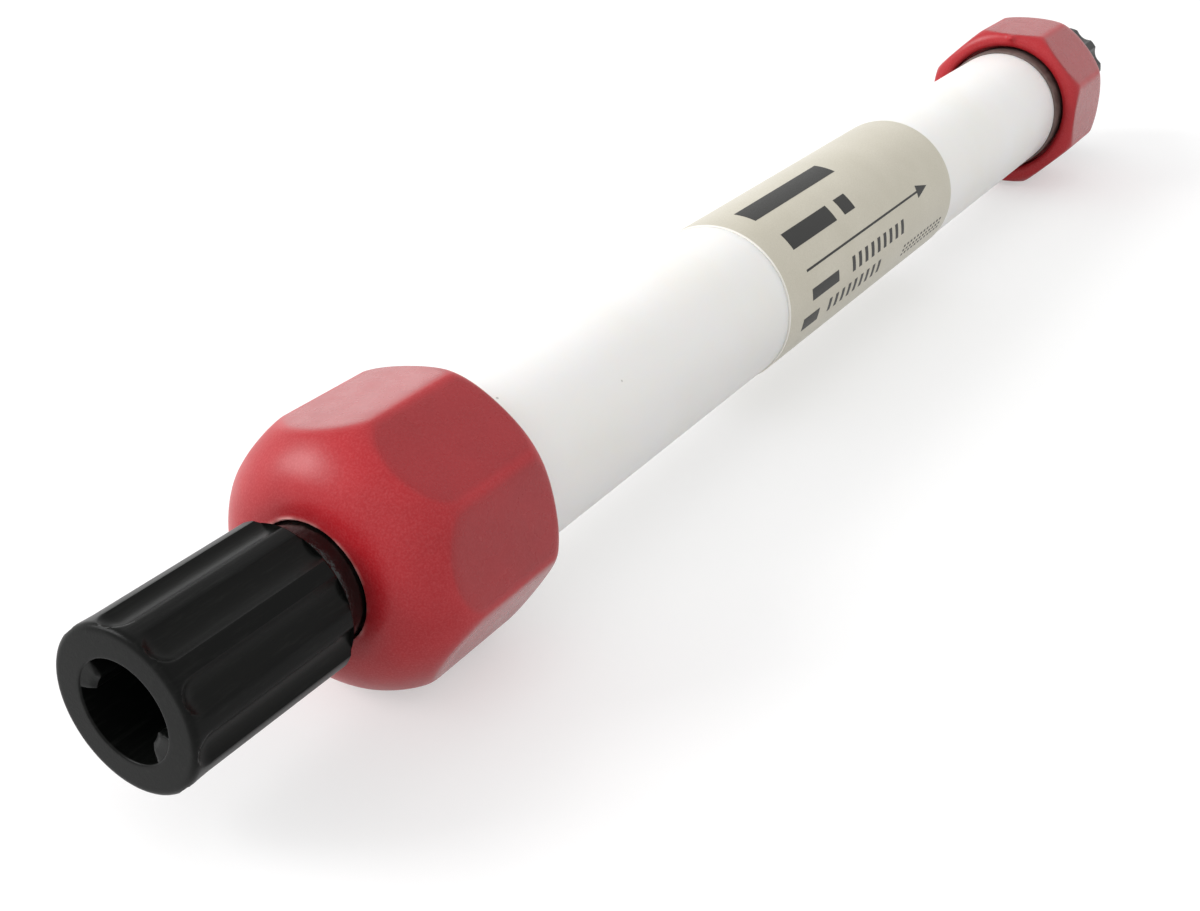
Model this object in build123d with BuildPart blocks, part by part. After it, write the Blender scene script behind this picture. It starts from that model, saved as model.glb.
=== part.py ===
from build123d import *
import os
from math import radians, sin

# A prepacked chromatography column lying on its two end nuts.
# Millimetres. X runs along the tube from inlet to outlet, Z is up, and the
# origin is on the tube's axis, midway between its ends.
# Each end is drawn once in its own frame, whose Z runs outward along the tube
# from the tube's middle, and is then set at the inlet and at the outlet.

# ---------------------------------------------------------------- sizes
# Bed and tube
bed_length = 100.0
bed_diameter = 7.7
tube_diameter = 12.0
end_piece_depth = 4.0  # how far an end piece reaches into the tube
tube_end_round = 0.3

# Label, a wrapped film with a narrow gap at the back
label_length = 33.0
label_centre = 0.9
label_thickness = 0.1
label_gap_angle = 14.0
label_gap_turn = 215.0  # where the gap is, from the top round the axis
label_clearance = 0.01

# Dark guard ring seated in a shallow groove of the tube, half inside the nut
guard_length = 2.6
guard_reach = 1.0  # length that shows outside the nut's mouth
guard_thickness = 0.4
guard_proud = 0.2
guard_fit = 0.01

# Cap nut: a ring and a thin round collar at the mouth, eight flats, and a dome with a nose hole
nut_mouth_to_tube_end = 5.2
nut_length = 12.0
nut_flats = 8
nut_across_flats = 15.6
nut_corner_diameter = 16.74
nut_ring_width = 1.15  # half-round ring round the mouth
nut_ring_height = 0.35
nut_groove_width = 0.1  # groove between the ring and the collar's shoulder
nut_groove_depth = 0.12
nut_shoulder_length = 0.6
nut_shoulder_bulge = 0.12
nut_collar_width = 0.2
nut_runout_length = 0.6  # length in which a flat rises to the collar
nut_runout_sag = 0.1
cutter_margin = 0.15  # how far the flat cutter reaches past the corners
nut_nose_flat_diameter = 10.2
nut_dome_length = 4.2
nut_dome_bulge = 0.8
nut_nose_edge_round = 0.25
nose_hole_diameter = 7.32

# Screw thread of the nut on the tube, drawn plain at its pitch diameter
nut_thread_clearance = 0.05
nut_mouth_clearance = 0.3  # between the nut's mouth and the guard ring
nut_mouth_depth = 1.7
cavity_clearance = 0.2
thrust_play = 0.03

# End piece with its port, seal ring, frit and frit ring
end_piece_fit = 0.03
end_piece_flange_diameter = 11.2
end_piece_flange_thickness = 1.6
end_piece_nose_diameter = 6.6
end_piece_nose_length = 1.8
port_depth = 4.8
channel_diameter = 0.8
frit_thickness = 1.2
frit_ring_wall = 0.45
frit_clearance = 0.02
bed_clearance = 0.02
seal_section = 0.88
seal_squeeze_gap = 0.01
seal_groove_width = 1.0
seal_groove_to_flange = 0.6
slip_ring_thickness = 0.5
slip_ring_clearance = 0.12
edge_chamfer = 0.2

# Stop plugs: fluted grip, round neck, plain-drawn screw and loose tip seal
screw_diameter = 4.76
screw_clearance = 0.04
screw_length = 4.0
plug_neck_clearance = 0.12
plug_nose_gap = 0.08  # between a grip and the nut's nose, screwed home
plug_undercut_length = 0.4
plug_undercut_depth = 0.5
grip_diameter = 9.2
grip_flutes = 10
flute_radius = 1.4
flute_depth = 0.5
grip_rim_round = 0.35
grip_rear_chamfer = 0.25
grip_bore_diameter = 5.62
grip_bore_depth_share = 0.72
rib_height = 0.86
rib_width = 2.0
rib_round = 0.45
rib_set_back = 0.15
tip_seal_thickness = 0.9
tip_seal_clearance = 0.13
tip_stud_diameter = 1.6
tip_stud_length = 1.4
tip_stud_clearance = 0.05
seat_gap = 0.04

# What differs between the two ends. Turns are about the end's own Z, from up.
ends = {
    "inlet": {
        "outward": (-1, 0, 0),
        "nut_turn": 12.1,
        "plug_turn": 7.2,
        "plug_backed_off": 1.7,
        "grip_length": 11.2,
        "flute_stop": 0.5,  # solid rim left in front of the flutes
    },
    "outlet": {
        "outward": (1, 0, 0),
        "nut_turn": 0.0,
        "plug_turn": 28.5,
        "plug_backed_off": 0.0,
        "grip_length": 9.6,
        "flute_stop": -2.0,  # flutes run out through the front
    },
}

# ---------------------------------------------------------------- places
# Radii
tube_radius = tube_diameter / 2
bed_radius = bed_diameter / 2
flat_distance = nut_across_flats / 2
corner_radius = nut_corner_diameter / 2
nose_hole_radius = nose_hole_diameter / 2
guard_outer_radius = tube_radius + guard_proud
guard_inner_radius = guard_outer_radius - guard_thickness
mouth_radius = guard_outer_radius + nut_mouth_clearance
ring_radius = mouth_radius + nut_ring_width / 2
thread_radius = tube_radius + nut_thread_clearance
flange_radius = end_piece_flange_diameter / 2
cavity_radius = flange_radius + cavity_clearance
end_piece_nose_radius = end_piece_nose_diameter / 2
stub_radius = bed_radius - end_piece_fit
frit_radius = stub_radius - frit_ring_wall - frit_clearance
port_radius = screw_diameter / 2 + screw_clearance
neck_radius = nose_hole_radius - plug_neck_clearance
grip_radius = grip_diameter / 2

# Distances from the tube's middle, outward
bed_end = bed_length / 2
tube_end = bed_end + end_piece_depth
nut_mouth = tube_end - nut_mouth_to_tube_end
nut_nose = nut_mouth + nut_length
ring_foot = nut_mouth + nut_ring_height
shoulder_start = ring_foot - nut_groove_depth
shoulder_end = shoulder_start + nut_shoulder_length
collar_end = shoulder_end + nut_collar_width
runout_end = collar_end + nut_runout_length
dome_start = nut_nose - nut_dome_length
flange_top = tube_end + end_piece_flange_thickness
end_piece_top = flange_top + end_piece_nose_length
nut_shoulder = flange_top + slip_ring_thickness + 2 * thrust_play
frit_top = bed_end + frit_thickness
port_bottom = end_piece_top - port_depth
seal_groove_top = tube_end - seal_groove_to_flange
seal_groove_bottom = seal_groove_top - seal_groove_width
seal_centre = (seal_groove_top + seal_groove_bottom) / 2
seal_middle_radius = bed_radius - seal_squeeze_gap - seal_section / 2
seal_groove_radius = seal_middle_radius - seal_section / 2 - seal_squeeze_gap
guard_outer_end = nut_mouth - guard_reach
guard_inner_end = guard_outer_end + guard_length

# The plug's own frame has z = 0 at the rear of the grip. Its neck spans from the port to the nut's nose.
plug_home = nut_nose + plug_nose_gap
tip_end = port_bottom + seat_gap - plug_home
screw_end = tip_end + tip_seal_thickness + seat_gap
plug_neck_length = -screw_end - screw_length

os.makedirs("parts", exist_ok=True)


def write_part(form, name):
    """Label a finished piece and write its STEP file."""
    form.part.label = name
    export_step(form.part, f"parts/{name}.step")


# ---------------------------------------------------------------- middle
axis_frame = Plane(origin=(0, 0, 0), x_dir=(0, 0, 1), z_dir=(1, 0, 0))

with BuildPart() as column_tube:
    with BuildSketch(axis_frame.offset(-tube_end)):
        Circle(tube_radius)
        Circle(bed_radius, mode=Mode.SUBTRACT)
    extrude(amount=2 * tube_end)
    fillet(
        column_tube.edges().filter_by(GeomType.CIRCLE).group_by(SortBy.RADIUS)[-1],
        tube_end_round,
    )
    for side in (-1, 1):
        groove_middle = side * (guard_outer_end + guard_inner_end) / 2
        with BuildSketch(axis_frame.offset(groove_middle)):
            Circle(tube_radius + guard_proud)
            Circle(guard_inner_radius - guard_fit, mode=Mode.SUBTRACT)
        extrude(amount=guard_length / 2 + guard_fit, both=True, mode=Mode.SUBTRACT)
write_part(column_tube, "column_tube")

with BuildPart() as packed_bed:
    with BuildSketch(axis_frame.offset(-bed_end + bed_clearance)):
        Circle(bed_radius - bed_clearance)
    extrude(amount=bed_length - 2 * bed_clearance)
write_part(packed_bed, "packed_bed")

with BuildPart() as column_label:
    with BuildSketch(axis_frame.offset(label_centre - label_length / 2)):
        with BuildLine():
            inner = CenterArc(
                (0, 0),
                tube_radius + label_clearance,
                label_gap_turn + label_gap_angle / 2,
                360 - label_gap_angle,
            )
            outer = CenterArc(
                (0, 0),
                tube_radius + label_clearance + label_thickness,
                label_gap_turn + label_gap_angle / 2,
                360 - label_gap_angle,
            )
            Line(inner @ 0, outer @ 0)
            Line(inner @ 1, outer @ 1)
        make_face()
    extrude(amount=label_length)
write_part(column_label, "column_label")

# ---------------------------------------------------------------- end forms
with BuildPart() as guard_ring:
    with BuildSketch(Plane.XY.offset(guard_outer_end)):
        Circle(guard_outer_radius)
        Circle(guard_inner_radius, mode=Mode.SUBTRACT)
    extrude(amount=guard_length)
    guard_rims = guard_ring.edges().filter_by(GeomType.CIRCLE)
    chamfer(guard_rims.group_by(SortBy.RADIUS)[-1], guard_proud / 2)

# One flat: flush with the dome, and rising to the collar as a cutter leaves it
with BuildPart() as flat_cutter:
    with BuildSketch(Plane.XZ):
        with BuildLine():
            sunk = Line((flat_distance, nut_nose), (flat_distance, runout_end))
            rise = ThreePointArc(
                sunk @ 1,
                (
                    (flat_distance + corner_radius) / 2 - nut_runout_sag,
                    (runout_end + collar_end) / 2 - nut_runout_sag,
                ),
                (corner_radius, collar_end),
            )
            step = Line(rise @ 1, (corner_radius + cutter_margin, collar_end))
            side_line = Line(step @ 1, (corner_radius + cutter_margin, nut_nose))
            Line(side_line @ 1, sunk @ 0)
        make_face()
    extrude(amount=corner_radius * sin(radians(180 / nut_flats)) + cutter_margin, both=True)

with BuildPart() as nut_form:
    with BuildSketch(Plane.XZ):
        with BuildLine():
            groove_radius = mouth_radius + nut_ring_width
            land_radius = groove_radius + nut_groove_width
            mouth = Line((mouth_radius, nut_mouth + nut_mouth_depth), (mouth_radius, ring_foot))
            ring_top = ThreePointArc(
                mouth @ 1,
                (ring_radius, nut_mouth),
                (groove_radius, ring_foot),
            )
            groove = Line(ring_top @ 1, (land_radius, shoulder_start))
            trim = ThreePointArc(
                groove @ 1,
                (
                    (land_radius + corner_radius) / 2 + nut_shoulder_bulge,
                    (shoulder_start + shoulder_end) / 2 - nut_shoulder_bulge,
                ),
                (corner_radius, shoulder_end),
            )
            wall = Line(trim @ 1, (corner_radius, dome_start))
            nose_edge = (nut_nose_flat_diameter / 2, nut_nose)
            dome = ThreePointArc(
                wall @ 1,
                (
                    (corner_radius + nose_edge[0]) / 2 + nut_dome_bulge / 2**0.5,
                    (dome_start + nut_nose) / 2 + nut_dome_bulge / 2**0.5,
                ),
                nose_edge,
            )
            nose = Line(dome @ 1, (nose_hole_radius, nut_nose))
            hole = Line(nose @ 1, (nose_hole_radius, nut_shoulder))
            shoulder = Line(hole @ 1, (cavity_radius, nut_shoulder))
            cavity = Line(shoulder @ 1, (cavity_radius, tube_end + cavity_clearance))
            thread_top = Line(cavity @ 1, (thread_radius, tube_end + cavity_clearance))
            thread = Line(thread_top @ 1, (thread_radius, nut_mouth + nut_mouth_depth))
            Line(thread @ 1, mouth @ 0)
        make_face()
    revolve(axis=Axis.Z)
    with PolarLocations(0, nut_flats):
        add(flat_cutter.part, mode=Mode.SUBTRACT)
    nose_rims = nut_form.edges().filter_by(GeomType.CIRCLE).group_by(Axis.Z)[-1]
    fillet(nose_rims.sort_by(SortBy.RADIUS)[-1], nut_nose_edge_round)

with BuildPart() as end_piece_form:
    with BuildSketch(Plane.XZ):
        with BuildLine():
            Polyline(
                (channel_diameter / 2, frit_top),
                (stub_radius, frit_top),
                (stub_radius, seal_groove_bottom),
                (seal_groove_radius, seal_groove_bottom),
                (seal_groove_radius, seal_groove_top),
                (stub_radius, seal_groove_top),
                (stub_radius, tube_end + thrust_play),
                (flange_radius, tube_end + thrust_play),
                (flange_radius, flange_top),
                (end_piece_nose_radius, flange_top),
                (end_piece_nose_radius, end_piece_top),
                (port_radius, end_piece_top),
                (port_radius, port_bottom),
                (channel_diameter / 2, port_bottom),
                close=True,
            )
        make_face()
    revolve(axis=Axis.Z)
    rims = end_piece_form.edges().filter_by(GeomType.CIRCLE)
    chamfer(rims.group_by(SortBy.RADIUS)[-1], edge_chamfer)
    top_rims = end_piece_form.edges().filter_by(GeomType.CIRCLE).group_by(Axis.Z)[-1]
    chamfer(top_rims, edge_chamfer)

with BuildPart() as end_seal_form:
    with BuildSketch(Plane.XZ):
        with Locations((seal_middle_radius, seal_centre)):
            Circle(seal_section / 2)
    revolve(axis=Axis.Z)

with BuildPart() as frit_form:
    with BuildSketch(Plane.XY.offset(bed_end)):
        Circle(frit_radius)
    extrude(amount=frit_thickness - frit_clearance)

with BuildPart() as frit_ring_form:
    with BuildSketch(Plane.XY.offset(bed_end)):
        Circle(stub_radius)
        Circle(frit_radius + frit_clearance, mode=Mode.SUBTRACT)
    extrude(amount=frit_thickness - frit_clearance)

with BuildPart() as slip_ring_form:
    with BuildSketch(Plane.XY.offset(flange_top + thrust_play)):
        Circle(flange_radius)
        Circle(end_piece_nose_radius + slip_ring_clearance, mode=Mode.SUBTRACT)
    extrude(amount=slip_ring_thickness)
    slip_rims = slip_ring_form.edges().filter_by(GeomType.CIRCLE)
    chamfer(slip_rims.group_by(SortBy.RADIUS)[-1], slip_ring_thickness / 4)

with BuildPart() as tip_seal_form:
    with BuildSketch(Plane.XY.offset(tip_end)):
        Circle(screw_diameter / 2 - tip_seal_clearance)
    extrude(amount=tip_seal_thickness)
    chamfer(tip_seal_form.edges().group_by(Axis.Z)[0], tip_seal_thickness / 3)
    with BuildSketch(Plane.XY.offset(screw_end - seat_gap)):
        Circle(tip_stud_diameter / 2)
    extrude(amount=tip_stud_length)

# A cutter for one flute, with a ball end that leaves the rim round
with BuildPart() as flute_cutter:
    Sphere(flute_radius)
    longest_grip = max(end["grip_length"] for end in ends.values())
    with BuildSketch(Plane.XY):
        Circle(flute_radius)
    extrude(amount=-2 * longest_grip)

flute_centre = grip_radius - flute_depth + flute_radius
flute_fade = (flute_radius**2 - (flute_radius - flute_depth) ** 2) ** 0.5


def make_plug(grip_length, flute_stop):
    """Make one stop plug, from its screw's tip to the face of its grip."""
    bore_depth = grip_length * grip_bore_depth_share
    flute_end = grip_length - flute_stop - flute_fade
    with BuildPart() as plug:
        with BuildSketch(Plane.XY):
            Circle(grip_radius)
        extrude(amount=grip_length)
        fillet(plug.edges().sort_by(Axis.Z)[-1], grip_rim_round)
        chamfer(plug.edges().sort_by(Axis.Z)[0], grip_rear_chamfer)
        with PolarLocations(flute_centre, grip_flutes):
            with Locations((0, 0, flute_end)):
                add(flute_cutter.part, mode=Mode.SUBTRACT)
        with BuildSketch(Plane.XY.offset(grip_length)):
            Circle(grip_bore_diameter / 2)
        extrude(amount=-bore_depth, mode=Mode.SUBTRACT)
        with BuildSketch(Plane.XY.offset(grip_length - bore_depth)):
            with PolarLocations(grip_bore_diameter / 2, 2, start_angle=90):
                RectangleRounded(2 * rib_height, rib_width, rib_round)
            Circle((grip_bore_diameter + rib_height) / 2, mode=Mode.INTERSECT)
        extrude(amount=bore_depth - rib_set_back)
        with BuildSketch(Plane.XY):
            Circle(neck_radius - plug_undercut_depth)
        extrude(amount=-plug_undercut_length)
        with BuildSketch(Plane.XY.offset(-plug_undercut_length)):
            Circle(neck_radius)
        neck = extrude(amount=plug_undercut_length - plug_neck_length)
        neck_rims = neck.edges().filter_by(GeomType.CIRCLE)
        fillet(neck_rims, plug_undercut_depth / 2)
        with BuildSketch(Plane.XY.offset(-plug_neck_length)):
            Circle(screw_diameter / 2)
        extrude(amount=-screw_length)
        chamfer(plug.edges().sort_by(Axis.Z)[0], edge_chamfer)
        with BuildSketch(Plane.XY.offset(screw_end)):
            Circle(tip_stud_diameter / 2 + tip_stud_clearance)
        extrude(amount=tip_stud_length + tip_stud_clearance, mode=Mode.SUBTRACT)
    return plug


# ---------------------------------------------------------------- both ends
for end_name, end in ends.items():
    end_frame = Plane(origin=(0, 0, 0), x_dir=(0, 0, 1), z_dir=end["outward"])
    plug_base = plug_home + end["plug_backed_off"]
    pieces = {
        "guard_ring": (guard_ring, 0, 0),
        "nut": (nut_form, 0, end["nut_turn"]),
        "end_piece": (end_piece_form, 0, 0),
        "end_seal": (end_seal_form, 0, 0),
        "frit": (frit_form, 0, 0),
        "frit_ring": (frit_ring_form, 0, 0),
        "slip_ring": (slip_ring_form, 0, 0),
        "plug_seal": (tip_seal_form, plug_base, 0),
        "plug": (make_plug(end["grip_length"], end["flute_stop"]), plug_base, end["plug_turn"]),
    }
    for piece_name, (form, distance, turn) in pieces.items():
        with BuildPart() as piece:
            with Locations(end_frame.location * Location((0, 0, distance), (0, 0, turn))):
                add(form.part)
        write_part(piece, f"{end_name}_{piece_name}")
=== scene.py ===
"""Dresses a prepacked chromatography column: tube, wrapped label, cap nuts and stop plugs.

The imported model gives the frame: metres, X along the tube from inlet to outlet, Z up, and the
origin on the tube's axis midway between its ends. Turned pieces are drawn in an end's own frame,
whose Z runs outward along the tube from its middle and whose X points up at rest, and are then set
at their end.
"""

import math

import bpy
import numpy as np
from bpy.props import FloatProperty, FloatVectorProperty, IntProperty, PointerProperty
from mathutils import Matrix, Vector


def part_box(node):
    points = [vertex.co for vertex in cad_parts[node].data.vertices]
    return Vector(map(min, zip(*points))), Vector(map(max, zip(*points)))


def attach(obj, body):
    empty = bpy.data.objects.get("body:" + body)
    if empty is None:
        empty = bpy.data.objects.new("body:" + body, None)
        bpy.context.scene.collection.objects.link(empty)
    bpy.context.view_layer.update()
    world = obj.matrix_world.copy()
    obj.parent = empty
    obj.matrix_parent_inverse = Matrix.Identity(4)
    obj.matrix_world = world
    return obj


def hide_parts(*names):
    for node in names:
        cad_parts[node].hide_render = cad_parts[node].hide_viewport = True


bl_info = {
    "name": "Chromatography column dresser",
    "version": (1, 0, 0),
    "blender": (4, 5, 0),
    "location": "View3D > Sidebar > Column",
    "description": "Builds the pieces, finishes and stage of a prepacked chromatography column",
    "category": "Object",
}

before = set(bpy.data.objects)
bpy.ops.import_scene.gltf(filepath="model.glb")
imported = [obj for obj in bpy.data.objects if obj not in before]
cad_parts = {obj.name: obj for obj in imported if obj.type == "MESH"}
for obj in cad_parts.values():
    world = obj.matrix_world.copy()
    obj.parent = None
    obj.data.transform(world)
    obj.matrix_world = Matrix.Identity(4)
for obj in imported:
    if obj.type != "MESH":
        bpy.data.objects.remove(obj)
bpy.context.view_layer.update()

MM = 0.001
OUTWARD = {"inlet": -1, "outlet": 1}
NUT_PITCH = 1.5 * MM
PLUG_PITCH = 25.4 / 32 * MM


# ---------------------------------------------------------------- sizes read from the frame
def far_reach(node, end):
    """How far a node reaches outward along the tube towards an end."""
    low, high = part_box(node)
    return -low.x if OUTWARD[end] < 0 else high.x


def near_reach(node, end):
    """Where a node begins, outward along the tube towards an end."""
    low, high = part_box(node)
    return -high.x if OUTWARD[end] < 0 else low.x


TUBE_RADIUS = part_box("column_tube")[1].z
TUBE_END = far_reach("column_tube", "outlet")
LABEL_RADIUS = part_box("column_label")[1].z
LABEL_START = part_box("column_label")[0].x
LABEL_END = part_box("column_label")[1].x
NUT_MOUTH = near_reach("outlet_nut", "outlet")
NUT_NOSE = far_reach("outlet_nut", "outlet")
GUARD_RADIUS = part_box("outlet_guard_ring")[1].z
GUARD_START = near_reach("outlet_guard_ring", "outlet")
GUARD_END = far_reach("outlet_guard_ring", "outlet")
FLOOR_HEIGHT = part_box("inlet_nut")[0].z


# ---------------------------------------------------------------- small helpers
MATH = "ShaderNodeMath"
MIX = "ShaderNodeMix"
RANGE = "ShaderNodeMapRange"
NOISE = "ShaderNodeTexNoise"
VECTOR = "ShaderNodeVectorMath"
BUMP = "ShaderNodeBump"
ATTRIBUTE = "ShaderNodeAttribute"
SHADER = "ShaderNodeBsdfPrincipled"
SURFACE = "ShaderNodeOutputMaterial"


def linear(hex_colour):
    """An sRGB hex colour as linear red, green and blue."""
    values = [int(hex_colour[i : i + 2], 16) / 255 for i in (0, 2, 4)]
    return [v / 12.92 if v <= 0.04045 else ((v + 0.055) / 1.055) ** 2.4 for v in values]


def add_node(tree, kind, inputs=(), **settings):
    """Add a node. Inputs go by name or in order.

    Each is a value, a hex colour, a socket, or a node whose first live output is meant.
    """
    node = tree.nodes.new(kind)
    for name, value in settings.items():
        setattr(node, name, value)
    for name, value in inputs.items() if isinstance(inputs, dict) else enumerate(inputs):
        if isinstance(value, bpy.types.Node):
            value = next(socket for socket in value.outputs if socket.enabled)
        if isinstance(value, bpy.types.NodeSocket):
            tree.links.new(value, node.inputs[name])
        elif isinstance(value, str):
            node.inputs[name].default_value = [*linear(value), 1.0]
        else:
            node.inputs[name].default_value = value
    return node


def arc(start, middle, end, steps):
    """Points along the arc through three points, without the first."""
    (ax, ay), (bx, by), (cx, cy) = start, middle, end
    turn = 2 * (ax * (by - cy) + bx * (cy - ay) + cx * (ay - by))
    a2, b2, c2 = ax * ax + ay * ay, bx * bx + by * by, cx * cx + cy * cy
    ox = (a2 * (by - cy) + b2 * (cy - ay) + c2 * (ay - by)) / turn
    oy = (a2 * (cx - bx) + b2 * (ax - cx) + c2 * (bx - ax)) / turn
    radius = math.hypot(ax - ox, ay - oy)
    first = math.atan2(ay - oy, ax - ox)
    through = (math.atan2(by - oy, bx - ox) - first) % (math.tau)
    last = (math.atan2(cy - oy, cx - ox) - first) % (math.tau)
    if through > last:
        last -= math.tau
    angles = [first + last * i / steps for i in range(1, steps + 1)]
    return [(ox + radius * math.cos(a), oy + radius * math.sin(a)) for a in angles]


def bend(start, out, back, end, steps):
    """Points along a cubic curve that leaves for out and comes from back, without the first."""
    shares = [i / steps for i in range(1, steps + 1)]
    weights = [((1 - t) ** 3, 3 * t * (1 - t) ** 2, 3 * t * t * (1 - t), t**3) for t in shares]
    return [tuple(np.array(w) @ np.array([start, out, back, end])) for w in weights]


def soften(points, rounds, steps=5):
    """An outline with some corners made round. Rounds maps a point's index to its radius."""
    outline = []
    count = len(points)
    for i, corner in enumerate(points):
        if i not in rounds:
            outline.append(corner)
            continue
        here = Vector(corner)
        back = (Vector(points[i - 1]) - here).normalized()
        ahead = (Vector(points[(i + 1) % count]) - here).normalized()
        half = back.angle(ahead) / 2
        reach = rounds[i] / math.tan(half)
        start, end = here + back * reach, here + ahead * reach
        middle = here + (back + ahead).normalized() * (rounds[i] / math.sin(half) - rounds[i])
        outline += [tuple(start)] + arc(start, middle, end, steps)
    return outline


def split(start, end, step):
    """Points along a straight run, no further apart than step, without the run's end."""
    count = max(1, math.ceil(math.dist(start, end) / step - 1e-6))
    return [tuple(Vector(start).lerp(Vector(end), i / count)) for i in range(count)]


def turned(name, outline, steps):
    """A mesh of an outline of (radius, distance) points turned about Z. Radius 0 is a pole."""
    vertices, rings = [], []
    for radius, distance in outline:
        if radius < 1e-9:
            rings.append([len(vertices)] * steps)
            vertices.append((0.0, 0.0, distance))
            continue
        rings.append([len(vertices) + i for i in range(steps)])
        for i in range(steps):
            angle = math.tau * i / steps
            vertices.append((radius * math.cos(angle), radius * math.sin(angle), distance))
    closed = outline[0][0] > 1e-9
    pairs = list(zip(rings, rings[1:] + rings[:1])) if closed else list(zip(rings, rings[1:]))
    faces = []
    for near, far in pairs:
        for i in range(steps):
            j = (i + 1) % steps
            corners = [near[i], near[j], far[j], far[i]]
            face = [c for k, c in enumerate(corners) if c != corners[k - 1]]
            if len(face) > 2:
                faces.append(face)
    mesh = bpy.data.meshes.new(name)
    mesh.from_pydata(vertices, [], faces)
    return mesh


def signed_volume(mesh):
    """The mesh's volume, negative if its faces point inwards."""
    mesh.calc_loop_triangles()
    points = np.empty(len(mesh.vertices) * 3)
    mesh.vertices.foreach_get("co", points)
    points = points.reshape(-1, 3)
    corners = np.empty(len(mesh.loop_triangles) * 3, dtype=np.int32)
    mesh.loop_triangles.foreach_get("vertices", corners)
    a, b, c = (points[corners.reshape(-1, 3)[:, i]] for i in range(3))
    return float(np.einsum("ij,ij->i", a, np.cross(b, c)).sum() / 6)


def finish_mesh(mesh, material, sharp_angle=32):
    """Point faces outwards, shade smooth with sharp corners, and give the material."""
    if signed_volume(mesh) < 0:
        mesh.flip_normals()
    mesh.shade_smooth()
    mesh.set_sharp_from_angle(angle=math.radians(sharp_angle))
    mesh.materials.clear()
    mesh.materials.append(material)


def place(mesh, name, body, nodes=()):
    """Make a piece of a finished mesh. It rides on a body, and may stand for CAD nodes."""
    piece = bpy.data.objects.new(name, mesh)
    bpy.context.scene.collection.objects.link(piece)
    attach(piece, body)
    if nodes:
        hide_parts(*nodes)


def end_matrix(end, turn=0.0):
    """From an end's own frame, turned about its Z by degrees, to the shared frame."""
    way = OUTWARD[end]
    axes = Matrix(((0, 0, way, 0), (0, -way, 0, 0), (1, 0, 0, 0), (0, 0, 0, 1)))
    return axes @ Matrix.Rotation(math.radians(turn), 4, "Z")


def run_tree(mesh, tree, values):
    """The mesh after a Geometry Nodes tree, with its named inputs set."""
    carrier = bpy.data.objects.new(mesh.name, mesh)
    bpy.context.scene.collection.objects.link(carrier)
    modifier = carrier.modifiers.new(tree.name, "NODES")
    modifier.node_group = tree
    for item in tree.interface.items_tree:
        if item.item_type == "SOCKET" and item.in_out == "INPUT" and item.name in values:
            modifier[item.identifier] = values[item.name]
    bpy.context.view_layer.update()
    graph = bpy.context.evaluated_depsgraph_get()
    evaluated = carrier.evaluated_get(graph)
    result = bpy.data.meshes.new_from_object(
        evaluated, preserve_all_data_layers=True, depsgraph=graph
    )
    carrier.modifiers.remove(modifier)
    bpy.data.objects.remove(carrier)
    return result


def new_shaper(name, sizes):
    """An empty Geometry Nodes tree with named sizes. Returns the tree and its input node."""
    tree = bpy.data.node_groups.new(name, "GeometryNodeTree")
    tree.is_modifier = True
    tree.interface.new_socket("Geometry", in_out="INPUT", socket_type="NodeSocketGeometry")
    for size, (kind, default) in sizes.items():
        socket = tree.interface.new_socket(size, in_out="INPUT", socket_type=kind)
        socket.default_value = default
    tree.interface.new_socket("Geometry", in_out="OUTPUT", socket_type="NodeSocketGeometry")
    return tree, add_node(tree, "NodeGroupInput")


LENGTH = "NodeSocketFloat"
COUNT = "NodeSocketInt"
FINISH = "NodeSocketMaterial"


def polar_place(tree):
    """Nodes that give each point's radius and angle about Z, and its place."""
    position = add_node(tree, "GeometryNodeInputPosition")
    place_xyz = add_node(tree, "ShaderNodeSeparateXYZ", [position])
    across = add_node(tree, "ShaderNodeCombineXYZ", [place_xyz.outputs[0], place_xyz.outputs[1]])
    radius = add_node(tree, VECTOR, [across], operation="LENGTH").outputs["Value"]
    angle = add_node(tree, MATH, [place_xyz.outputs[1], place_xyz.outputs[0]], operation="ARCTAN2")
    return place_xyz, radius, angle.outputs[0]


def fold_angle(tree, angle, count):
    """Each point's angle from the nearest of count equal rays."""
    share = add_node(tree, MATH, [math.tau, count], operation="DIVIDE")
    half = add_node(tree, MATH, [share, 0.5], operation="MULTIPLY")
    ahead = add_node(tree, MATH, [angle, half], operation="ADD")
    wrapped = add_node(tree, MATH, [ahead, share], operation="FLOORED_MODULO")
    return add_node(tree, MATH, [wrapped, half], operation="SUBTRACT").outputs[0]


def set_radius(tree, given, place_xyz, radius, new_radius, marks):
    """Move each point to its new radius, store named marks, and end the tree with its material."""
    ratio = add_node(tree, MATH, [new_radius, radius], operation="DIVIDE")
    new_x = add_node(tree, MATH, [place_xyz.outputs[0], ratio], operation="MULTIPLY")
    new_y = add_node(tree, MATH, [place_xyz.outputs[1], ratio], operation="MULTIPLY")
    new_place = add_node(tree, "ShaderNodeCombineXYZ", [new_x, new_y, place_xyz.outputs[2]])
    geometry = given.outputs[0]
    for mark, value in marks.items():
        stored = add_node(
            tree, "GeometryNodeStoreNamedAttribute", data_type="FLOAT", domain="POINT"
        )
        stored.inputs["Name"].default_value = mark
        tree.links.new(geometry, stored.inputs["Geometry"])
        tree.links.new(value.outputs[0], stored.inputs["Value"])
        geometry = stored.outputs[0]
    moved = add_node(tree, "GeometryNodeSetPosition", {"Geometry": geometry, "Position": new_place})
    real = add_node(tree, "GeometryNodeRealizeInstances", [moved])
    material = given.outputs["Material"]
    dressed = add_node(tree, "GeometryNodeSetMaterial", {"Geometry": real, "Material": material})
    add_node(tree, "NodeGroupOutput", [dressed])


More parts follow.
